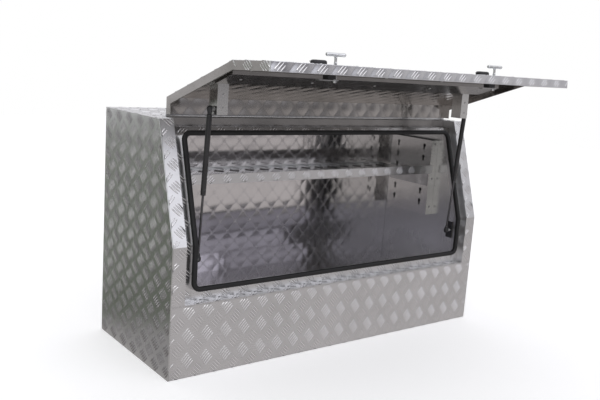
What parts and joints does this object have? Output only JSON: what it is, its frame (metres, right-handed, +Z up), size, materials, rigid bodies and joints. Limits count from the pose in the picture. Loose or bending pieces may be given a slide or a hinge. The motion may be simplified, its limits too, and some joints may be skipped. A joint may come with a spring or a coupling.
{
  "type": "truck tool box",
  "caption": "Aluminium tread-plate truck tool box with a gull-wing lid held open by gas struts, a sealed front opening, T-handle latches and a rack-mounted shelf.",
  "frame": {"origin": "centre of the underside of the floor", "axes": "+X along the box to the right as seen from the front, +Y to the back, +Z up; the lid opens on the -Y side"},
  "size_m": [1.45, 0.9566, 1.0928],
  "materials": {
    "tread_plate": "rolled five-bar tread plate, bright mill finish",
    "plain_sheet": "smooth mill-finish folded sheet",
    "steel": "zinc-plated",
    "stainless": "polished stainless",
    "rubber": "matt black extruded rubber",
    "strut_black": "satin black paint",
    "rod_chrome": "hard-chromed rod",
    "black_plastic": "moulded black plastic"
  },
  "bodies": {
    "box": {"left_side_panel": "tread_plate", "right_side_panel": "tread_plate", "floor_panel": "tread_plate", "back_panel": "tread_plate", "top_panel": "tread_plate", "lower_front_panel": "tread_plate", "door_frame_left": "tread_plate", "door_frame_right": "tread_plate", "door_frame_sill": "tread_plate", "door_frame_header": "tread_plate", "door_seal": "rubber", "shelf_rack_left": "plain_sheet", "shelf_rack_right": "plain_sheet", "shelf_tray": "tread_plate", "shelf_arm_left": "steel", "shelf_arm_right": "steel", "hinge_leaf_body": "stainless", "hinge_pin": "steel", "strut_lower_stud_left": "steel", "strut_lower_stud_right": "steel", "strut_lower_bracket_left": "steel", "strut_lower_bracket_right": "steel", "latch_keeper_left": "steel", "latch_keeper_right": "steel"},
    "lid": {"hinge_leaf_lid": "stainless", "lid_skin": "tread_plate", "lid_stiffener": "plain_sheet", "lid_strut_bracket_left": "plain_sheet", "strut_upper_stud_left": "steel", "latch_plate_left": "stainless", "latch_housing_left": "black_plastic", "lid_strut_bracket_right": "plain_sheet", "strut_upper_stud_right": "steel", "latch_plate_right": "stainless", "latch_housing_right": "black_plastic"},
    "strut_tube_left": {"strut_upper_eye_left": "black_plastic", "strut_tube_left": "strut_black"},
    "strut_rod_left": {"strut_rod_left": "rod_chrome", "strut_piston_left": "steel", "strut_lower_eye_left": "black_plastic"},
    "latch_left": {"latch_spindle_left": "stainless", "latch_cam_left": "steel", "t_handle_pin_left": "stainless"},
    "handle_left": {"t_handle_left": "stainless"},
    "lock_left": {"lock_barrel_left": "stainless"},
    "cover_left": {"lock_cover_left": "black_plastic"},
    "strut_tube_right": {"strut_upper_eye_right": "black_plastic", "strut_tube_right": "strut_black"},
    "strut_rod_right": {"strut_rod_right": "rod_chrome", "strut_piston_right": "steel", "strut_lower_eye_right": "black_plastic"},
    "latch_right": {"latch_spindle_right": "stainless", "latch_cam_right": "steel", "t_handle_pin_right": "stainless"},
    "handle_right": {"t_handle_right": "stainless"},
    "lock_right": {"lock_barrel_right": "stainless"},
    "cover_right": {"lock_cover_right": "black_plastic"}
  },
  "joints": [
    {"name": "lid_hinge", "type": "hinge", "parent": "box", "child": "lid", "pos_m": [0, -0.088, 0.854], "axis": [1, 0, 0], "range_deg": [0, 91.5]},
    {"name": "strut_left_swing", "type": "hinge", "parent": "lid", "child": "strut_tube_left", "pos_m": [-0.605, -0.262, 0.893], "axis": [1, 0, 0], "range_deg": [-115.6, 0]},
    {"name": "strut_left_slide", "type": "slide", "parent": "strut_tube_left", "child": "strut_rod_left", "axis": [0, -0.0677, 0.9977], "range_m": [0, 0.1965]},
    {"name": "latch_left_turn", "type": "hinge", "parent": "lid", "child": "latch_left", "pos_m": [-0.368, -0.58093, 1.05397], "axis": [0, 0.0262, 0.9997], "range_deg": [0, 90]},
    {"name": "handle_left_fold", "type": "hinge", "parent": "latch_left", "child": "handle_left", "pos_m": [-0.368, -0.58104, 1.04997], "axis": [1, 0, 0], "range_deg": [0, 90]},
    {"name": "lock_left_turn", "type": "hinge", "parent": "lid", "child": "lock_left", "pos_m": [-0.432, -0.58093, 1.05397], "axis": [0, 0.0262, 0.9997], "range_deg": [0, 90]},
    {"name": "cover_left_flip", "type": "hinge", "parent": "lid", "child": "cover_left", "pos_m": [-0.432, -0.56427, 1.06004], "axis": [-1, 0, 0], "range_deg": [0, 95]},
    {"name": "strut_right_swing", "type": "hinge", "parent": "lid", "child": "strut_tube_right", "pos_m": [0.605, -0.262, 0.893], "axis": [1, 0, 0], "range_deg": [-115.6, 0]},
    {"name": "strut_right_slide", "type": "slide", "parent": "strut_tube_right", "child": "strut_rod_right", "axis": [0, -0.0677, 0.9977], "range_m": [0, 0.1965]},
    {"name": "latch_right_turn", "type": "hinge", "parent": "lid", "child": "latch_right", "pos_m": [0.368, -0.58093, 1.05397], "axis": [0, 0.0262, 0.9997], "range_deg": [0, 90]},
    {"name": "handle_right_fold", "type": "hinge", "parent": "latch_right", "child": "handle_right", "pos_m": [0.368, -0.58104, 1.04997], "axis": [1, 0, 0], "range_deg": [0, 90]},
    {"name": "lock_right_turn", "type": "hinge", "parent": "lid", "child": "lock_right", "pos_m": [0.304, -0.58093, 1.05397], "axis": [0, 0.0262, 0.9997], "range_deg": [0, 90]},
    {"name": "cover_right_flip", "type": "hinge", "parent": "lid", "child": "cover_right", "pos_m": [0.304, -0.56427, 1.06004], "axis": [-1, 0, 0], "range_deg": [0, 95]}
  ],
  "couplings": [
    {"joint": "strut_left_swing", "follows": "lid_hinge", "ratio": -1.2631},
    {"joint": "strut_left_slide", "follows": "lid_hinge", "m_per_rad": 0.12293},
    {"joint": "strut_right_swing", "follows": "lid_hinge", "ratio": -1.2631},
    {"joint": "strut_right_slide", "follows": "lid_hinge", "m_per_rad": 0.12293}
  ]
}
